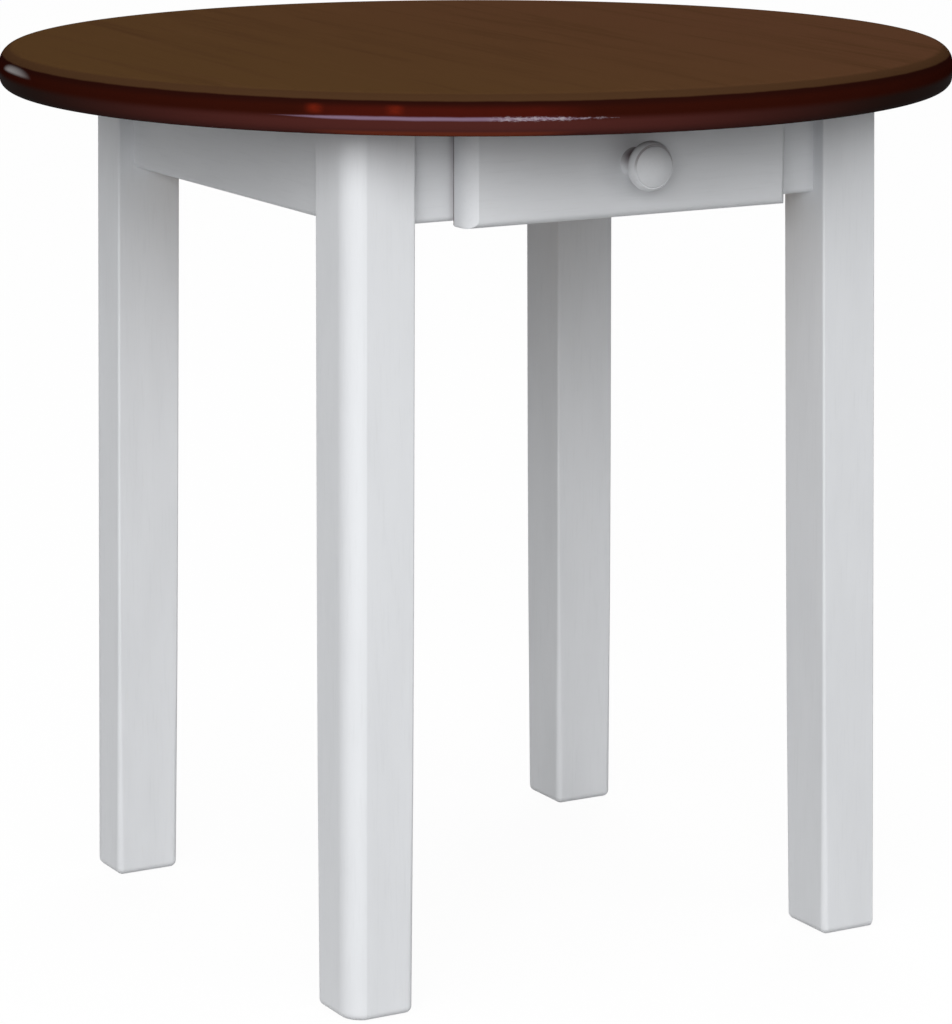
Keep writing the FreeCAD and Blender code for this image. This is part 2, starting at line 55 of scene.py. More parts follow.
def tangentArc(start, end, tangent, count):
    # the arc that leaves start along tangent and reaches end: its centre lies square to the tangent,
    # at radius = chord^2 / (2 * chord . normal)
    start, end, tangent = np.array(start), np.array(end), np.array(tangent)
    chord = end - start
    normal = chord - tangent * (chord @ tangent)
    normal = normal / np.linalg.norm(normal)
    radius = chord @ chord / (2 * (chord @ normal))
    centre = start + normal * radius
    first, last = (math.atan2(*(point - centre)[::-1]) for point in (start, end))
    turn = (last - first + math.pi) % (2 * math.pi) - math.pi
    return arcPoints(centre, radius, math.degrees(first), math.degrees(first + turn), count)


quarterSigns = np.array([(1, 1), (-1, 1), (-1, -1), (1, -1)])
sharpestCut = 0.0002


def roundedOutline(half, sideCuts, faceCuts, inset, arcSteps=12, flatShares=(0.03, 0.35, 0.65, 0.97)):
    # closed outlines of a rectangle, each drawn in by its inset. Corner k is an arc that leaves the face
    # square to x at sideCut s from the sharp corner and meets the other face at faceCut f from it: it turns
    # by t = 2 atan(f / s) with radius r = s / sin t, so its point at angle a, 0 to t, lies r (1 - cos a)
    # from one face and s - r sin a from the other
    inset = np.asarray(inset, float)[:, None]
    side = np.maximum(np.atleast_2d(sideCuts) - inset, sharpestCut)[..., None]
    face = np.maximum(np.atleast_2d(faceCuts) - inset, sharpestCut)[..., None]
    turn = 2 * np.arctan2(face, side)
    radius = side / np.sin(turn)
    share = np.linspace(0, 1, arcSteps)
    share = np.where(quarterSigns.prod(axis=1)[:, None] > 0, share, 1 - share)
    angle = turn * share
    fromSides = np.stack([radius * (1 - np.cos(angle)), side - radius * np.sin(angle)], axis=-1)
    corners = quarterSigns[:, None] * (np.array(half) - inset[..., None, None] - fromSides)
    leave, arrive = corners[:, :, -1:], np.roll(corners[:, :, :1], -1, axis=1)
    flats = leave + (arrive - leave) * np.array(flatShares)[:, None]
    return np.concatenate([corners, flats], axis=2).reshape(len(inset), -1, 2)


def revolve(profile, count):
    # each profile point (r, h) becomes the ring (r cos a, r sin a, h)
    angle = np.linspace(0, 2 * math.pi, count, endpoint=False)
    circle = np.stack([np.cos(angle), np.sin(angle)], axis=1)
    flat = profile[:, None, :1] * circle[None]
    return np.concatenate([flat, np.repeat(profile[:, None, 1:], count, axis=1)], axis=2)


def skin(name, rings, sharpAngle=35):
    # four-sided faces between neighbouring rings, and one flat face over the first and the last ring
    rows, columns = rings.shape[:2]
    index = np.arange(rows * columns).reshape(rows, columns)
    after = np.roll(index, -1, axis=1)
    walls = np.stack([index[:-1], after[:-1], after[1:], index[1:]], axis=-1).reshape(-1, 4)
    caps = [index[0].tolist(), index[-1].tolist()]
    mesh = bpy.data.meshes.new(name)
    mesh.from_pydata(rings.reshape(-1, 3).tolist(), [], walls.tolist() + caps)
    shell = bmesh.new()
    shell.from_mesh(mesh)
    bmesh.ops.recalc_face_normals(shell, faces=shell.faces)
    shell.to_mesh(mesh)
    shell.free()
    mesh.shade_smooth()
    mesh.set_sharp_from_angle(angle=math.radians(sharpAngle))
    piece = bpy.data.objects.new(name, mesh)
    bpy.context.scene.collection.objects.link(piece)
    return piece


def install(piece, node, body, finish):
    # the piece takes the node's place on its body
    piece.data.materials.append(finish)
    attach(piece, body)
    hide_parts(node)


# Shader maths

class Flow:
    # one socket of a node tree: + - * / and ** on it add Math nodes
    def __init__(self, tree, socket):
        self.tree = tree
        self.socket = socket

    def maths(self, operation, first, second):
        return self.tree.node("ShaderNodeMath", {"operation": operation}, {0: first, 1: second})

    def __add__(self, other):
        return self.maths("ADD", self, other)

    def __sub__(self, other):
        return self.maths("SUBTRACT", self, other)

    def __rsub__(self, other):
        return self.maths("SUBTRACT", other, self)

    def __mul__(self, other):
        return self.maths("MULTIPLY", self, other)

    def __truediv__(self, other):
        return self.maths("DIVIDE", self, other)

    def __rtruediv__(self, other):
        return self.maths("DIVIDE", other, self)

    def __pow__(self, other):
        return self.maths("POWER", self, other)

    __radd__ = __add__
    __rmul__ = __mul__


class Tree:
    # a node tree to which nodes are added one by one
    def __init__(self, tree):
        self.tree = tree

    def plug(self, socket, value):
        if isinstance(value, Flow):
            self.tree.links.new(value.socket, socket)
        else:
            socket.default_value = value

    def node(self, kind, settings=None, inputs=None, output=0):
        made = self.tree.nodes.new(kind)
        for name, value in (settings or {}).items():
            setattr(made, name, value)
        for key, value in (inputs or {}).items():
            self.plug(made.inputs[key], value)
        return Flow(self, made.outputs[output])

    def seenDirectly(self):
        # 1 for rays from the camera, mirror rays and rays through glass
        path = [self.node("ShaderNodeLightPath", output=name)
                for name in ("Is Camera Ray", "Is Glossy Ray", "Is Transmission Ray")]
        return path[0] + path[1] + path[2]


class Finish(Tree):
    # a material on the piece's own coordinates, ending in one Principled shader
    def __init__(self, name):
        self.material = bpy.data.materials.new(name)
        self.material.use_nodes = True
        super().__init__(self.material.node_tree)
        self.shader = self.tree.nodes["Principled BSDF"]
        self.place = self.node("ShaderNodeTexCoord", output="Object")

    def put(self, **inputs):
        for name, value in inputs.items():
            self.plug(self.shader.inputs[name.replace("_", " ")], value)
        return self.material

    def axis(self, letter):
        return self.node("ShaderNodeSeparateXYZ", inputs={0: self.place}, output=letter)

    def turned(self, angle, scale):
        # coordinates turned about Z, then stretched, so that the grain runs along their Y
        turn = (0, 0, math.radians(angle))
        spun = self.node("ShaderNodeMapping", inputs={"Vector": self.place, "Rotation": turn})
        return self.node("ShaderNodeMapping", inputs={"Vector": spun, "Scale": scale})

    def noise(self, vector, scale=1.0, detail=4.0, roughness=0.55, distortion=0.0):
        return self.node("ShaderNodeTexNoise", inputs={
            "Vector": vector, "Scale": scale, "Detail": detail, "Roughness": roughness,
            "Distortion": distortion})

    def grain(self, angle, scale, **settings):
        return self.noise(self.turned(angle, scale), **settings)

    def single(self, operation, value):
        return self.node("ShaderNodeMath", {"operation": operation}, {0: value})

    def blend(self, first, second, share):
        # this share of the first and the rest of the second
        return first * share + second * (1 - share)

    def ramp(self, value, low, high):
        # 0 below low, 1 above high, smooth between
        return self.node("ShaderNodeMapRange", {"interpolation_type": "SMOOTHSTEP"}, {
            "Value": value, "From Min": low, "From Max": high})

    def band(self, value, middle, half, blur):
        # 1 within half of the middle, falling to 0 over the blur on both sides
        rising = self.ramp(value, middle - half - blur, middle - half)
        return rising * (1 - self.ramp(value, middle + half, middle + half + blur))

    def mix(self, factor, first, second):
        return self.node("ShaderNodeMix", {"data_type": "RGBA"}, {0: factor, 6: first, 7: second}, output=2)

    def relief(self, height, look):
        return self.node("ShaderNodeBump", inputs={
            "Height": height, "Strength": look["reliefStrength"], "Distance": look["reliefDepth"]})


def tone(red, green, blue):
    # a colour written as 0 to 255, made linear
    share = np.array([red, green, blue]) / 255
    linear = np.where(share > 0.04045, ((share + 0.055) / 1.055) ** 2.4, share / 12.92)
    return (*linear.tolist(), 1.0)


noiseMiddle = 0.5  # noise runs from 0 to 1 about this value


# Finishes

# drops are measured down from the upper face, azimuths in degrees from -Y towards -X, and facings are
# cosines of the angle from an azimuth
lacquerLook = {
    "olive": tone(77, 54, 31), "russet": tone(81, 53, 36), "darkGrain": tone(69, 46, 28),
    "paleGrain": tone(88, 61, 39), "edgeTone": tone(67, 45, 28), "edgeDrops": (0.0, 0.0016),
    "broad": {"angle": 4, "scale": (30, 2.2, 30), "detail": 3, "distortion": 0.6},
    "streak": {"angle": 3, "scale": (120, 4, 120), "detail": 4, "distortion": 0.3},
    "fibre": {"angle": 3, "scale": (900, 22, 900), "detail": 2},
    "mottle": {"angle": 0, "scale": (38, 38, 90), "detail": 4, "roughness": 0.6},
    "sparkle": {"angle": 25, "scale": (240, 110, 900), "detail": 4, "roughness": 0.75},
    "darkBlend": 0.6, "darkRange": (0.48, 0.66), "darkAmount": 0.7,
    "paleBlend": 0.7, "paleRange": (0.52, 0.7), "paleAmount": 0.35,
    "lineDrop": 0.0056, "lineBlur": 0.0007, "lineWaver": 0.0009,
    # the rim, from its dark upper edge down, painted lighter on its front towards the lamps and in painted
    # shade on its sides
    "darkRim": tone(36, 12, 8), "rim": tone(64, 18, 11), "shadedSideRim": tone(48, 15, 8),
    "rimDrops": (0.0065, 0.0125), "mottleLeast": 0.7, "mottleSwing": 0.6, "litFrontFacing": (0.955, 0.985),
    # the lower band is a painted reflection of the pale floor, in painted shade towards the sides
    "lowRimReflection": tone(80, 37, 33), "lowRimShadedSide": tone(31, 15, 10), "lowDrops": (0.016, 0.022),
    "lowLitFacing": (0.46, 1.2),
    # a painted lit edge along the very bottom, only on the front facing the lamps
    "lowestRimLitEdge": tone(120, 52, 30), "lowestDrops": (0.0275, 0.0305), "lowestAmount": 0.8,
    # two painted warm highlights, a long painted highlight line that breaks up into painted bright
    # scratches, and a glint at the left
    "glow": tone(130, 38, 18), "glowDrop": 0.0125, "glowHalf": 0.001, "glowBlur": 0.004,
    "glowAzimuths": (38, 47), "glowWidth": 1.4, "glowSwing": 1.2, "glowLoss": 0.25,
    # painted highlight: a bright line along the rim that breaks up into painted bright scratches
    "highlightLine": tone(122, 96, 119), "sheenAzimuth": 33, "sheenFacing": (0.93, 0.99), "sheenDrop": 0.0186,
    "sheenHalf": 0.0021, "sheenRange": (1.0, 1.8), "sheenAmount": 0.85,
    "scratch": tone(150, 138, 146), "scratchHighlightRange": (0.45, 0.6),
    "sparkAzimuth": 20, "sparkFacing": (0.988, 0.996), "sparkSwing": 2.6,
    "glintAzimuth": 98.5, "glintFacing": (0.992, 0.9985), "glintDrop": 0.0095, "glintHalf": 0.0015,
    "glintBlur": 0.003,
    "coatSheen": 0.35, "coatSpark": 0.5, "coatGlint": 0.6, "coatRest": 0.02, "coatRoughness": 0.1,
    "coatIndex": 1.8, "roughness": 0.42, "roughSwing": 0.12,
    "reliefBlend": 0.5, "reliefStrength": 0.25, "reliefDepth": 0.0004,
}


def makeLacquer(look, top, radius):
    # stained boards along Y, with satin brown grain above and a deep red rim that shines in places, partly
    # through its coat and partly through painted highlights and painted light in its colour
    finish = Finish("mahoganyLacquer")
    x, y, height = (finish.axis(letter) for letter in "XYZ")
    turn = finish.node("ShaderNodeMath", {"operation": "ARCTAN2"}, {0: x * -1, 1: y * -1})
    broad, streak, fibre, mottle, sparkle = (
        finish.grain(**look[name]) for name in ("broad", "streak", "fibre", "mottle", "sparkle"))

    def facing(azimuth):
        angle = math.radians(azimuth)
        return (x * -math.sin(angle) + y * -math.cos(angle)) / radius

    def below(drops):
        # 0 above the first drop from the top, 1 under the second
        return 1 - finish.ramp(height, top - drops[1], top - drops[0])

    brown = finish.mix(finish.ramp(x, -radius, radius), look["olive"], look["russet"])
    dark = finish.ramp(finish.blend(broad, streak, look["darkBlend"]), *look["darkRange"])
    brown = finish.mix(dark * look["darkAmount"], brown, look["darkGrain"])
    pale = finish.ramp(finish.blend(streak, fibre, look["paleBlend"]), *look["paleRange"])
    brown = finish.mix(pale * look["paleAmount"], brown, look["paleGrain"])
    brown = finish.mix(below(look["edgeDrops"]), brown, look["edgeTone"])

    # painted light: near is 1 where the rim faces the lamps' azimuth and takes the lighter red, while the
    # sides take painted shade
    front = facing(look["sheenAzimuth"])
    near = finish.ramp(front, *look["litFrontFacing"])
    rimLitFrontShadedSides = finish.mix(near, look["shadedSideRim"], look["rim"])
    # painted reflection of the floor on the lower band, fading to painted shade away from the lamps
    lowRimPaintedLight = finish.mix(finish.ramp(front, *look["lowLitFacing"]), look["lowRimShadedSide"], look["lowRimReflection"])
    uneven = look["mottleLeast"] + mottle * look["mottleSwing"]
    red = finish.mix(below(look["rimDrops"]) * uneven, look["darkRim"], rimLitFrontShadedSides)
    # painted highlight: two warm glints in the rim's colour at the given azimuths
    warmHighlight = finish.band(height, top - look["glowDrop"], look["glowHalf"], look["glowBlur"])
    warmHighlight = warmHighlight * (mottle * look["glowSwing"] - look["glowLoss"])
    for azimuth in look["glowAzimuths"]:
        patch = finish.band(turn, math.radians(azimuth), 0, math.radians(look["glowWidth"]))
        red = finish.mix(warmHighlight * patch, red, look["glow"])
    red = finish.mix(below(look["lowDrops"]), red, lowRimPaintedLight)
    # painted light along the lowest edge, only where the rim faces the lamps
    red = finish.mix(below(look["lowestDrops"]) * near * look["lowestAmount"], red, look["lowestRimLitEdge"])

    waver = (mottle - noiseMiddle) * look["lineWaver"]
    line = top - look["lineDrop"] + waver
    onFlat = finish.ramp(height - line, -look["lineBlur"], look["lineBlur"])
    # painted highlight line, tapering away from the lamps' azimuth and breaking into painted bright
    # scratches
    taper = finish.ramp(front, *look["sheenFacing"])
    broken = finish.ramp(facing(look["sparkAzimuth"]), *look["sparkFacing"])
    offLine = finish.single("ABSOLUTE", height - (top - look["sheenDrop"]) + waver)
    sparks = (sparkle - noiseMiddle) * broken * look["sparkSwing"]
    sheen = finish.ramp(1 - offLine / look["sheenHalf"] + taper + sparks, *look["sheenRange"])
    scratchHighlight = broken * finish.ramp(sparkle, *look["scratchHighlightRange"])
    shine = finish.mix(scratchHighlight, look["highlightLine"], look["scratch"])
    red = finish.mix(sheen * look["sheenAmount"], red, shine)
    glint = finish.band(height, top - look["glintDrop"], look["glintHalf"], look["glintBlur"])
    glint = glint * finish.ramp(facing(look["glintAzimuth"]), *look["glintFacing"])
    polish = sheen * (look["coatSheen"] + broken * look["coatSpark"]) + glint * look["coatGlint"]
    polish = polish + below(look["lowDrops"]) * look["coatRest"]
    return finish.put(
        Base_Color=finish.mix(onFlat, red, brown), Roughness=look["roughness"] + fibre * look["roughSwing"],
        Specular_IOR_Level=0.0, Coat_Weight=polish, Coat_Roughness=look["coatRoughness"],
        Coat_IOR=look["coatIndex"],
        Normal=finish.relief(finish.blend(streak, fibre, look["reliefBlend"]), look))


paintLook = {
    "paint": tone(227, 229, 232), "shade": tone(216, 218, 221), "thin": tone(222, 221, 217),
    "stroke": {"fine": 420, "long": 26, "detail": 4, "roughness": 0.6},
    "fibre": {"fine": 1300, "long": 75, "detail": 3, "roughness": 0.65},
    "cloud": {"fine": 26, "long": 6, "detail": 3},
    "poreRange": (0.62, 0.74), "poreAmount": 0.35, "cloudRange": (0.35, 0.7), "cloudAmount": 0.35,
    "strokeRange": (0.5, 0.75), "strokeAmount": 0.3,
    "paintedShade": tone(112, 98, 102), "paintedShadeLeast": 0.7, "paintedShadeSwing": 0.6,
    "roughness": 0.42, "strokeRoughness": 0.14, "poreRoughness": 0.05, "specular": 0.3,
    "strokeRelief": 0.6, "fibreRelief": 0.5, "poreRelief": 0.3, "reliefStrength": 0.2,
    "reliefDepth": 0.0003,
}


def makePaint(look, name, grainAxis, paintedShadeIn=None):
    # brushed white paint: long strokes and the wood's fibres show through it along the grain, and some
    #     # pieces have painted shade in their joints and recesses
    finish = Finish(name)

    def along(fine, long, **settings):
        return finish.grain(0, [long if letter == grainAxis else fine for letter in "XYZ"], **settings)

    stroke, fibre, cloud = (along(**look[kind]) for kind in ("stroke", "fibre", "cloud"))
    pores = finish.ramp(fibre, *look["poreRange"])
    worn = finish.ramp(cloud, *look["cloudRange"]) * look["cloudAmount"]
    worn = worn + finish.ramp(stroke, *look["strokeRange"]) * look["strokeAmount"]
    colour = finish.mix(worn, look["paint"], look["shade"])
    colour = finish.mix(pores * look["poreAmount"], colour, look["thin"])
    # painted shade: the paint darkens where the piece's mask says shade falls
    if paintedShadeIn:
        uneven = look["paintedShadeLeast"] + cloud * look["paintedShadeSwing"]
        colour = finish.mix(paintedShadeIn(finish) * uneven, colour, look["paintedShade"])
    height = stroke * look["strokeRelief"] + fibre * look["fibreRelief"] - pores * look["poreRelief"]
    roughness = look["roughness"] + stroke * look["strokeRoughness"] - pores * look["poreRoughness"]
    return finish.put(
        Base_Color=colour, Roughness=roughness, Specular_IOR_Level=look["specular"],
        Normal=finish.relief(height, look))


pineLook = {
    "early": tone(222, 190, 143), "late": tone(190, 146, 94), "resin": tone(150, 104, 62),
    "waver": {"scale": (9, 1.6, 9), "detail": 2}, "waverReach": 0.05,
    "fibre": {"scale": (1500, 30, 1500), "detail": 3, "roughness": 0.6},
    "ringWidth": 0.0055, "ringTilt": 0.6, "lateStart": 0.35, "latePeak": 0.92, "lateAmount": 0.75,
    "resinRange": (0.6, 0.8), "resinAmount": 0.35, "roughness": 0.62, "roughSwing": 0.15, "specular": 0.3,
    "fibreRelief": 0.6, "lateRelief": 0.4, "reliefStrength": 0.3, "reliefDepth": 0.0004,
}


def makePine(look, name, angle):
    # planed pine: growth rings are bands of distance across the grain, pulled about by slow noise
    finish = Finish(name)
    waver = finish.grain(angle, **look["waver"])
    fibre = finish.grain(angle, **look["fibre"])
    across = finish.node("ShaderNodeSeparateXYZ", inputs={0: finish.turned(angle, (1, 1, 1))}, output="X")
    tilted = across + finish.axis("Z") * look["ringTilt"]
    rings = (tilted + waver * look["waverReach"]) / look["ringWidth"]
    growth = rings - finish.single("FLOOR", rings)
    late = finish.ramp(growth, look["lateStart"], look["latePeak"])
    late = late * (1 - finish.ramp(growth, look["latePeak"], 1))
    colour = finish.mix(late * look["lateAmount"], look["early"], look["late"])
    resin = finish.ramp(fibre, *look["resinRange"])
    colour = finish.mix(resin * look["resinAmount"], colour, look["resin"])
    height = fibre * look["fibreRelief"] - late * look["lateRelief"]
    return finish.put(
        Base_Color=colour, Roughness=look["roughness"] + fibre * look["roughSwing"],
        Specular_IOR_Level=look["specular"], Normal=finish.relief(height, look))


beechLook = {
    "pale": tone(216, 178, 136), "dark": tone(168, 118, 78), "darkRange": (0.55, 0.75),
    "fleck": {"angle": 0, "scale": (900, 160, 900), "detail": 3},
    "roughness": 0.5, "roughSwing": 0.2, "reliefStrength": 0.2, "reliefDepth": 0.0003,
}


def makeBeech(look):
    # pale wood with short dark flecks along Y
    finish = Finish("beech")
    fleck = finish.grain(**look["fleck"])
    return finish.put(
        Base_Color=finish.mix(finish.ramp(fleck, *look["darkRange"]), look["pale"], look["dark"]),
        Roughness=look["roughness"] + fleck * look["roughSwing"], Normal=finish.relief(fleck, look))


hardboardLook = {
    "board": tone(150, 108, 72), "fleck": tone(112, 76, 48), "paleFleck": tone(178, 138, 98),
    "felt": {"scale": 900, "detail": 4, "roughness": 0.7}, "feltRange": (0.45, 0.7),
    "cloud": {"scale": 14, "detail": 3}, "cloudRange": (0.45, 0.75), "cloudAmount": 0.4,
    "roughness": 0.4, "roughSwing": 0.25, "specular": 0.35, "reliefStrength": 0.15, "reliefDepth": 0.0002,
}


def makeHardboard(look):
    # pressed fibres without a direction, clouded with paler ones
    finish = Finish("hardboard")
    felt = finish.noise(finish.place, **look["felt"])
    cloud = finish.ramp(finish.noise(finish.place, **look["cloud"]), *look["cloudRange"])
    colour = finish.mix(finish.ramp(felt, *look["feltRange"]), look["board"], look["fleck"])
    colour = finish.mix(cloud * look["cloudAmount"], colour, look["paleFleck"])
    return finish.put(
        Base_Color=colour, Roughness=look["roughness"] + felt * look["roughSwing"],
        Specular_IOR_Level=look["specular"], Normal=finish.relief(felt, look))


steelLook = {
    "zinc": tone(196, 199, 204), "dull": tone(150, 152, 158), "dullRange": (0.4, 0.7),
    "patch": {"scale": 420, "detail": 3},
    "scratch": {"angle": 35, "scale": (3000, 300, 3000), "detail": 2},
    "roughness": 0.28, "roughSwing": 0.2, "reliefStrength": 0.1, "reliefDepth": 0.0002,
}


def makeSteel(look):
    # bright zinc with duller patches and fine scratches
    finish = Finish("zincSteel")
    patch = finish.noise(finish.place, **look["patch"])
    return finish.put(
        Base_Color=finish.mix(finish.ramp(patch, *look["dullRange"]), look["zinc"], look["dull"]),
        Metallic=1.0, Roughness=look["roughness"] + patch * look["roughSwing"],
        Normal=finish.relief(finish.grain(**look["scratch"]), look))


topLow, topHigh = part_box("table_top")
topRadius = (topHigh.x - topLow.x) / 2
lacquer = makeLacquer(lacquerLook, topHigh.z, topRadius)
paintUpright = makePaint(paintLook, "paintUpright", "Z")
paintAcross = makePaint(paintLook, "paintAcross", "X")
paintDeep = makePaint(paintLook, "paintDeep", "Y")
pineDeep = makePine(pineLook, "pineDeep", 0)
pineAcross = makePine(pineLook, "pineAcross", 90)
pineRising = makePine(pineLook, "pineRising", 45)
pineFalling = makePine(pineLook, "pineFalling", -45)
beech = makeBeech(beechLook)
hardboard = makeHardboard(hardboardLook)
steel = makeSteel(steelLook)
print("finishes:", len(bpy.data.materials))


# Table top

topShape = {
    "upperRound": 0.014, "lowerRound": 0.008, "crownAngle": 8, "upperSteps": 16, "crownSteps": 9,
    "lowerSteps": 12, "facets": 320, "innerRing": 0.02, "flatShares": (0, 0.3, 0.6, 0.85, 0.97),
}


def makeTop(shape):
    # turned profile: upper arc, a barely crowned band and a lower arc, all tangent where they meet
    upper, lower, angle = shape["upperRound"], shape["lowerRound"], shape["crownAngle"]
    rise, run = math.sin(math.radians(angle)), math.cos(math.radians(angle))
    crown = (topHigh.z - topLow.z - (upper + lower) * (1 - rise)) / (2 * rise)
    middle = topHigh.z - upper - (crown - upper) * rise
    axis = topRadius - crown
    upperCentre = (axis + (crown - upper) * run, middle + (crown - upper) * rise)
    lowerCentre = (axis + (crown - lower) * run, middle - (crown - lower) * rise)
    upperArc = arcPoints(upperCentre, upper, 90, angle, shape["upperSteps"])
    crownArc = arcPoints((axis, middle), crown, angle, -angle, shape["crownSteps"])
    lowerArc = arcPoints(lowerCentre, lower, -angle, -90, shape["lowerSteps"])
    inner = shape["innerRing"]
    outwards = inner + (upperArc[0, 0] - inner) * np.array(shape["flatShares"])
    topFlat = np.stack([outwards, np.full(len(outwards), topHigh.z)], axis=1)
    underFlat = np.stack([outwards[::-1], np.full(len(outwards), topLow.z)], axis=1)
    profile = np.concatenate([topFlat, upperArc, crownArc[1:-1], lowerArc, underFlat])
    piece = skin("tableTop", revolve(profile, shape["facets"]))
    install(piece, "table_top", "table_frame", lacquer)


makeTop(topShape)
print("top done")


# Legs

legShape = {
    "width": 0.058, "outerSideCut": 0.0195, "outerFaceCuts": {-1: 0.0155, 1: 0.008}, "footEase": 0.006,
    "edgeRounds": (0.006, 0.005, 0.0028, 0.002), "edgeHeights": (0, 0.06, 0.2, 0.35),
    "easeSteps": 10, "shankSteps": 20, "soleMargin": 0.001, "sharpAngle": 12,
}


def makeLeg(name, shape):
    # a rounded square carried up a leaning axis: at height z it shifts by splay * (1 - z / height)
    low, high = (np.array(corner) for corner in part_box(name))
    side = np.sign((low + high)[:2])
    width, ease, margin = shape["width"], shape["footEase"], shape["soleMargin"]
    outer = np.where(side > 0, high[:2], low[:2])
    splay = side * (high[:2] - low[:2] - width)
    angle = np.radians(np.linspace(0, 90, shape["easeSteps"]))
    inset = np.concatenate([[ease + margin], ease * (1 - np.sin(angle)), np.zeros(shape["shankSteps"])])
    shank = np.linspace(ease + margin, high[2], shape["shankSteps"])
    height = np.concatenate([[0], ease * (1 - np.cos(angle)), shank])
    isOuter = (quarterSigns == side).all(axis=1)
    edge = np.interp(height, shape["edgeHeights"], shape["edgeRounds"])[:, None]
    sideCuts = np.where(isOuter, shape["outerSideCut"], edge)
    faceCuts = np.where(isOuter, shape["outerFaceCuts"][int(side[0])], edge)
    outline = roundedOutline((width / 2, width / 2), sideCuts, faceCuts, inset)
    middle = outer - side * width / 2 - splay * (height / high[2])[:, None]
    level = np.repeat(height[:, None, None], outline.shape[1], axis=1)
    rings = np.concatenate([outline + middle[:, None], level], axis=2)
    piece = skin(name.replace("leg_", "leg."), rings, shape["sharpAngle"])
    install(piece, name, "table_frame", paintUpright)


for corner in ("front_left", "front_right", "back_left", "back_right"):
    makeLeg("leg_" + corner, legShape)
print("legs done")


# Aprons

apronShape = {
    "lowerRound": 0.005, "arris": 0.0012, "notchMargin": 0.002,
    "lengthShares": (-1, -0.96, -0.5, 0, 0.5, 0.96, 1), "lowerAngles": np.linspace(9, 90, 10),
    "arrisShares": (1, 0.6, 0.25, 0, 0),
}
legHead = np.abs(np.array(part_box("leg_front_left")))[:, :2].min(axis=0)  # inner faces of the leg heads


def makeStraightApron(name, along, finish, shape):
    # the board's section, with a large round on its lower outer edge, carried from leg to leg;
    # its ends follow the leaning legs, so the half length falls evenly from the bottom to the top
    low, high = (np.array(corner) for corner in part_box(name))
    across = 1 - along
    side = np.sign(low[across] + high[across])
    middle, half = (low + high) / 2, (high - low) / 2
    radii = [shape["arris"], shape["arris"], shape["arris"], shape["lowerRound"]]
    section = roundedOutline((half[across], half[2]), radii, radii, [0])[0]
    share = np.array(shape["lengthShares"])
    reach = half[along] + (legHead[along] - half[along]) * (section[:, 1] + half[2]) / (2 * half[2])
    rings = np.zeros((len(share), len(section), 3))
    rings[..., along] = share[:, None] * reach[None]
    rings[..., across] = middle[across] + side * section[None, :, 0]
    rings[..., 2] = middle[2] + section[None, :, 1]
    piece = skin(name.replace("apron_", "apron."), rings)
    install(piece, name, "table_frame", finish)


def makeFrontApron(shape):
    # a U-shaped outline carried through the board's thickness: each ring is the outline drawn in by
    # r - sqrt(r^2 - (r - depth)^2), with the larger r on the lower edge at the front
    low, high = (np.array(corner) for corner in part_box("apron_front"))
    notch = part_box("drawer_side_right")[1].x + shape["notchMargin"]
    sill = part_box("drawer_runner_left")[1].z
    reach = high[0]
    outline = np.array([
        (-reach, low[2]), (reach, low[2]), (legHead[0], high[2]), (notch, high[2]),
        (notch, sill), (-notch, sill), (-notch, high[2]), (-legHead[0], high[2])])
    pull = np.array([(0, 1), (0, 1), (0, -1), (1, -1), (1, -1), (-1, -1), (-1, -1), (0, -1)])
    isLower = pull[:, 1] > 0
    arris, lower = shape["arris"], shape["lowerRound"]
    thickness = high[1] - low[1]
    depth = np.concatenate([
        [0, 0], lower * (1 - np.cos(np.radians(shape["lowerAngles"]))),
        thickness - arris * np.array(shape["arrisShares"])])

    def drawnIn(radius, distance):
        return radius - np.sqrt(radius ** 2 - np.clip(radius - distance, 0, radius) ** 2)

    extra = np.zeros(len(depth))
    extra[[0, -1]] = arris
    back = drawnIn(arris, thickness - depth) + extra
    below, above = drawnIn(lower, depth) + back, drawnIn(arris, depth) + back
    inset = np.where(isLower, below[:, None], above[:, None])
    flat = outline[None] + pull[None] * inset[..., None]
    level = np.repeat(low[1] + depth[:, None], len(outline), axis=1)
    rings = np.stack([flat[..., 0], level, flat[..., 1]], axis=2)
    piece = skin("apron.front", rings)
    install(piece, "apron_front", "table_frame", paintAcross)


makeStraightApron("apron_left", 1, paintDeep, apronShape)
makeStraightApron("apron_right", 1, paintDeep, apronShape)
makeStraightApron("apron_back", 0, paintAcross, apronShape)
makeFrontApron(apronShape)
print("aprons done")


# Drawer front and knob

drawerShape = {
    "sideCut": 0.018, "faceCut": 0.0095, "cornerRound": 0.0016, "backRound": 0.004, "capMargin": 0.002,
    "rollCut": 0.0065, "rollDepth": 0.009,  # how the face rolls over above and below
    "curveSteps": 40, "backSteps": 7, "sharpAngle": 15, "paintedShadowDepth": 0.0035, "paintedShadowBlur": 0.001,
}


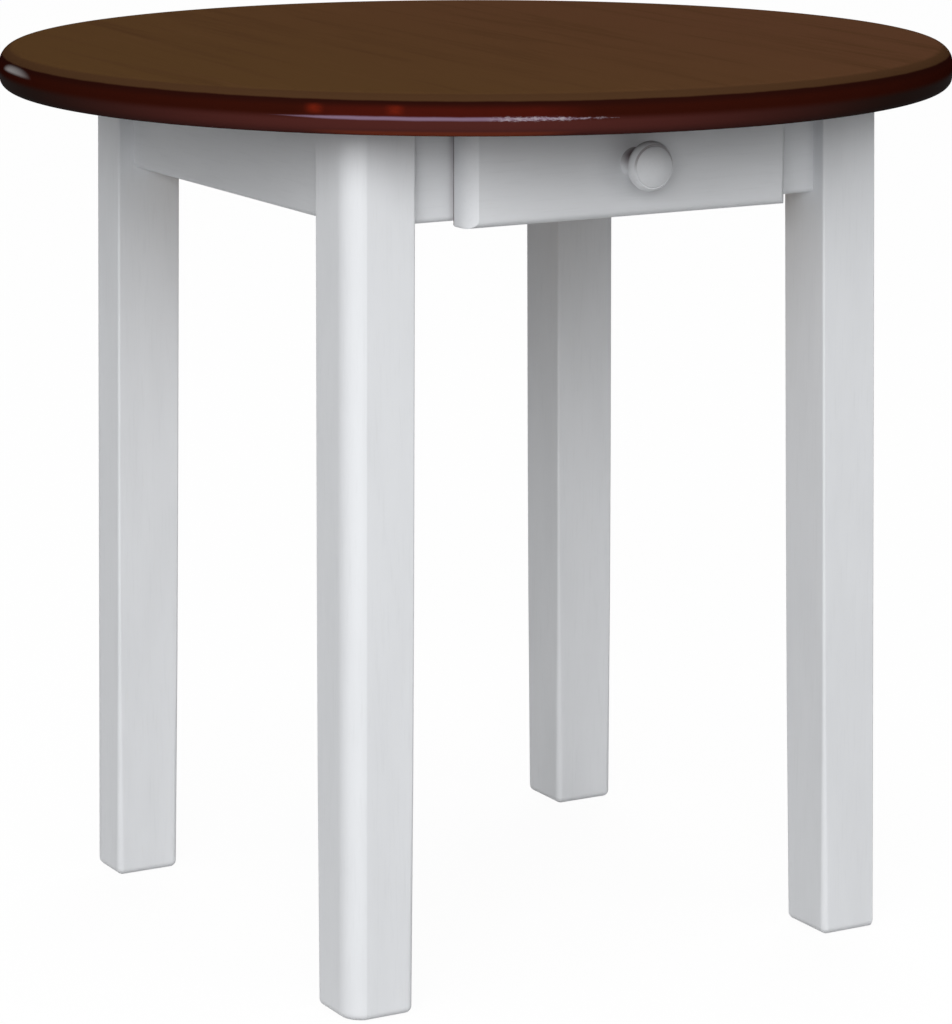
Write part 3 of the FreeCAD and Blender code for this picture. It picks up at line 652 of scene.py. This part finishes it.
def makeDrawerFront(shape):
    # a rectangle carried through the thickness. At the ends it curves in towards the face and stops at a
    # crisp arris: the curve leaves the side at sideCut s, turns by t = 2 atan(f / s) and reaches faceCut f.
    # Above and below, the face rolls over smoothly: the inset at depth d is r (1 - sqrt(1 - (1 - d / q)^2))
    # with rollCut r and rollDepth q
    low, high = (np.array(corner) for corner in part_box("drawer_front"))
    middle, half = (low + high) / 2, (high - low) / 2
    side, face, back, margin = (shape[name] for name in ("sideCut", "faceCut", "backRound", "capMargin"))
    thickness = high[1] - low[1]
    turn = 2 * math.atan(face / side)
    radius = side / math.sin(turn)
    curve = arcPoints((radius, side), radius, 180 + math.degrees(turn), 180, shape["curveSteps"])
    backArc = arcPoints((back, thickness - back), back, 180, 90, shape["backSteps"])
    profile = np.concatenate([[(face + margin, 0)], curve, backArc, [(back + margin, thickness)]])
    cornerCuts = [shape["cornerRound"]] * len(quarterSigns)
    unrolled = np.clip(1 - profile[:, 1] / shape["rollDepth"], 0, 1)
    rolled = shape["rollCut"] * (1 - np.sqrt(1 - unrolled ** 2))
    rolled = np.where(profile[:, 1] < side, rolled, profile[:, 0])
    rolled[0] += margin
    across = roundedOutline((half[0], half[2]), cornerCuts, cornerCuts, profile[:, 0])[..., 0]
    upright = roundedOutline((half[0], half[2]), cornerCuts, cornerCuts, rolled)[..., 1]
    depth = np.repeat(low[1] + profile[:, 1:], across.shape[1], axis=1)
    rings = np.stack([middle[0] + across, depth, middle[2] + upright], axis=2)
    piece = skin("drawerFront", rings, shape["sharpAngle"])

    # painted shadow: a dark band along the back of the drawer front, where the gap against the apron lies in
    # shade
    def paintedShadowInJoint(finish):
        return finish.band(finish.axis("Y"), high[1], shape["paintedShadowDepth"], shape["paintedShadowBlur"])

    paint = makePaint(paintLook, "paintDrawer", "X", paintedShadowInJoint)
    install(piece, "drawer_front", "drawer", paint)


knobShape = {
    "baseRadius": 0.0125, "neckRadius": 0.009, "coveHeight": 0.008, "backRadius": 0.0165,
    "backHeight": 0.0205, "rimHeight": 0.024, "shoulderHeight": 0.030, "capRadius": 0.0165,
    "capStep": 0.0008, "soften": 0.0004, "tipRadius": 0.0006, "facets": 72,
    "paintedShadeStart": (-0.006, 0.006), "paintedShadeEnd": (0.021, 0.026), "paintedShadeRise": (-0.006, 0.009),
    "ringHalf": 0.0003, "ringBlur": 0.0004, "ringShadeAmount": 0.5,
    "coveSteps": 10, "backSteps": 10, "rimSteps": 12, "capSteps": 22,
}


def makeKnob(shape):
    # turned profile (radius, distance out from the drawer front), spun about the knob's axis along -Y
    low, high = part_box("drawer_knob")
    rim, length = (high.x - low.x) / 2, high.y - low.y
    neck, cap, step, soft = (shape[name] for name in ("neckRadius", "capRadius", "capStep", "soften"))
    shoulder, under = shape["shoulderHeight"], shape["backHeight"]
    widest = (rim, shape["rimHeight"])
    profile = np.concatenate([
        tangentArc((neck, shape["coveHeight"]), (shape["baseRadius"], 0), (0, -1), shape["coveSteps"])[::-1],
        [(neck, under - soft), (neck + soft, under)],
        tangentArc(widest, (shape["backRadius"], under), (0, -1), shape["backSteps"])[::-1],
        tangentArc(widest, (cap + step, shoulder), (0, 1), shape["rimSteps"])[1:],
        [(cap + soft, shoulder - soft / 2), (cap, shoulder)],
        tangentArc((0, length), (cap - soft, shoulder + step + soft / 2), (1, 0), shape["capSteps"])[:0:-1],
        [(shape["tipRadius"], length)]])
    rings = revolve(profile, shape["facets"])
    middle = (low + high) / 2
    rings = np.stack([middle.x + rings[..., 0], high.y - rings[..., 2], middle.z + rings[..., 1]], axis=2)
    piece = skin("drawerKnob", rings)

    # painted shade: the neck and the back of the knob darken in the recess, with a dark painted line at the
    # cap's step, both only on the upper side under the table top
    def paintedShadeInRecess(finish):
        out = high.y - finish.axis("Y")
        recess = finish.ramp(out, *shape["paintedShadeStart"]) * (1 - finish.ramp(out, *shape["paintedShadeEnd"]))
        ring = finish.band(out, shoulder, shape["ringHalf"], shape["ringBlur"])
        upper = finish.ramp(finish.axis("Z") - middle.z, *shape["paintedShadeRise"])
        return (recess + ring * shape["ringShadeAmount"]) * upper

    paint = makePaint(paintLook, "paintKnob", "Y", paintedShadeInRecess)
    install(piece, "drawer_knob", "drawer", paint)


makeDrawerFront(drawerShape)
makeKnob(knobShape)
print("drawer front and knob done")


# Finishes of the plain boards and fixings, which keep their solids

carriedOver = {
    pineDeep: (
        "cleat_left", "cleat_right", "drawer_runner_left", "drawer_runner_right", "drawer_guide_left",
        "drawer_guide_right", "drawer_kicker_left", "drawer_kicker_right", "drawer_side_left",
        "drawer_side_right"),
    pineAcross: ("cleat_back", "drawer_stop", "drawer_back"),
    pineRising: ("corner_brace_front_right", "corner_brace_back_left"),
    pineFalling: ("corner_brace_front_left", "corner_brace_back_right"),
    beech: ("runner_dowels", "front_dowels"),
    hardboard: ("drawer_bottom",),
    steel: (
        "hanger_bolts", "bolt_washers", "bolt_nuts", "brace_screws", "cleat_side_screws",
        "cleat_top_screws", "guide_screws", "kicker_screws", "back_screws", "bottom_pins", "knob_screw"),
}
for finish, names in carriedOver.items():
    for name in names:
        for holder in nodes[name].material_slots:
            holder.material = finish
print("boards and fixings finished:", sum(len(names) for names in carriedOver.values()))


# Floor, light and camera

stageLook = {
    "floorHalf": 40.0, "floorTone": (0.95, 0.95, 0.95, 1), "bounce": (0.25, 0.25, 0.25, 1),
    "nearBounce": (0.45, 0.45, 0.45, 1), "nearReach": (0.2, 0.5), "white": (1, 1, 1, 1), "glow": 0.95,
    "ambient": 0.02,
}


def makeFloor(look):
    # seen directly it is near white and takes the table's soft shadow; other light finds it darker, and
    # paler under the table, where less light falls on it
    half = look["floorHalf"]
    mesh = bpy.data.meshes.new("floor")
    mesh.from_pydata([
        (-half, -half, 0), (half, -half, 0), (half, half, 0), (-half, half, 0)], [], [(0, 1, 2, 3)])
    floor = bpy.data.objects.new("floor", mesh)
    bpy.context.scene.collection.objects.link(floor)
    finish = Finish("paleFloor")
    finish.tree.nodes.remove(finish.shader)
    matt = finish.node("ShaderNodeBsdfDiffuse", inputs={"Color": look["floorTone"]})
    reach = finish.ramp((finish.axis("X") ** 2 + finish.axis("Y") ** 2) ** 0.5, *look["nearReach"])
    near = finish.node("ShaderNodeBsdfDiffuse", inputs={"Color": look["nearBounce"]})
    far = finish.node("ShaderNodeBsdfDiffuse", inputs={"Color": look["bounce"]})
    bounce = finish.node("ShaderNodeMixShader", inputs={0: reach, 1: near, 2: far})
    white = finish.node("ShaderNodeEmission", inputs={"Color": look["white"], "Strength": 1.0})
    shown = finish.node("ShaderNodeMixShader", inputs={0: look["glow"], 1: matt, 2: white})
    whole = finish.node("ShaderNodeMixShader", inputs={0: finish.seenDirectly(), 1: bounce, 2: shown})
    finish.plug(finish.tree.nodes["Material Output"].inputs["Surface"], whole)
    mesh.materials.append(finish.material)


def makeWorld(look):
    world = bpy.data.worlds.new("white")
    world.use_nodes = True
    bpy.context.scene.world = world
    sky = Tree(world.node_tree)
    background = world.node_tree.nodes["Background"]
    sky.plug(background.inputs["Color"], look["white"])
    sky.plug(background.inputs["Strength"], look["ambient"] + sky.seenDirectly() * (1 - look["ambient"]))


# broad soft lights: azimuth turned from -Y towards -X, elevation, and width as an angle
sunLights = {
    "leftWall": {"azimuth": 80, "elevation": 26, "width": 44, "strength": 0.53},
    "frontWall": {"azimuth": -15, "elevation": 24, "width": 40, "strength": 0.55},
    "backWall": {"azimuth": 215, "elevation": 25, "width": 50, "strength": 1.7},
    "ceiling": {"azimuth": 35, "elevation": 85, "width": 50, "strength": 1.25},
}
windowLook = {"azimuth": 35, "elevation": 23, "distance": 6.0, "size": 4.2, "watts": 265, "aim": 0.6}


def aimed(name, lamp, look):
    # a lamp whose light comes from the look's azimuth and elevation
    holder = bpy.data.objects.new(name, lamp)
    bpy.context.scene.collection.objects.link(holder)
    holder.rotation_euler = (math.radians(90 - look["elevation"]), 0, math.radians(-look["azimuth"]))
    return holder


def addSunLight(name, look):
    lamp = bpy.data.lights.new(name, "SUN")
    lamp.energy = look["strength"]
    lamp.angle = math.radians(look["width"])
    aimed(name, lamp, look)


def addWindow(look):
    lamp = bpy.data.lights.new("window", "AREA")
    lamp.shape = "DISK"
    lamp.size = look["size"]
    lamp.energy = look["watts"]
    azimuth, elevation = math.radians(look["azimuth"]), math.radians(look["elevation"])
    level = look["distance"] * math.cos(elevation)
    rise = look["aim"] + look["distance"] * math.sin(elevation)
    holder = aimed("window", lamp, look)
    holder.location = (-level * math.sin(azimuth), -level * math.cos(azimuth), rise)


cameraLook = {
    "place": (-1.6389, -2.9207, 1.0828), "azimuth": 29.30, "pitch": 12.45, "lens": 139.4, "sensor": 36,
}


def makeCamera(look):
    camera = bpy.data.cameras.new("camera")
    camera.lens = look["lens"]
    camera.sensor_width = look["sensor"]
    holder = bpy.data.objects.new("camera", camera)
    bpy.context.scene.collection.objects.link(holder)
    holder.location = look["place"]
    holder.rotation_euler = (math.radians(90 - look["pitch"]), 0, math.radians(-look["azimuth"]))
    bpy.context.scene.camera = holder


makeFloor(stageLook)
makeWorld(stageLook)
for lightName, lightLook in sunLights.items():
    addSunLight(lightName, lightLook)
addWindow(windowLook)
makeCamera(cameraLook)
bpy.context.scene.view_settings.view_transform = "Standard"
print("stage done")
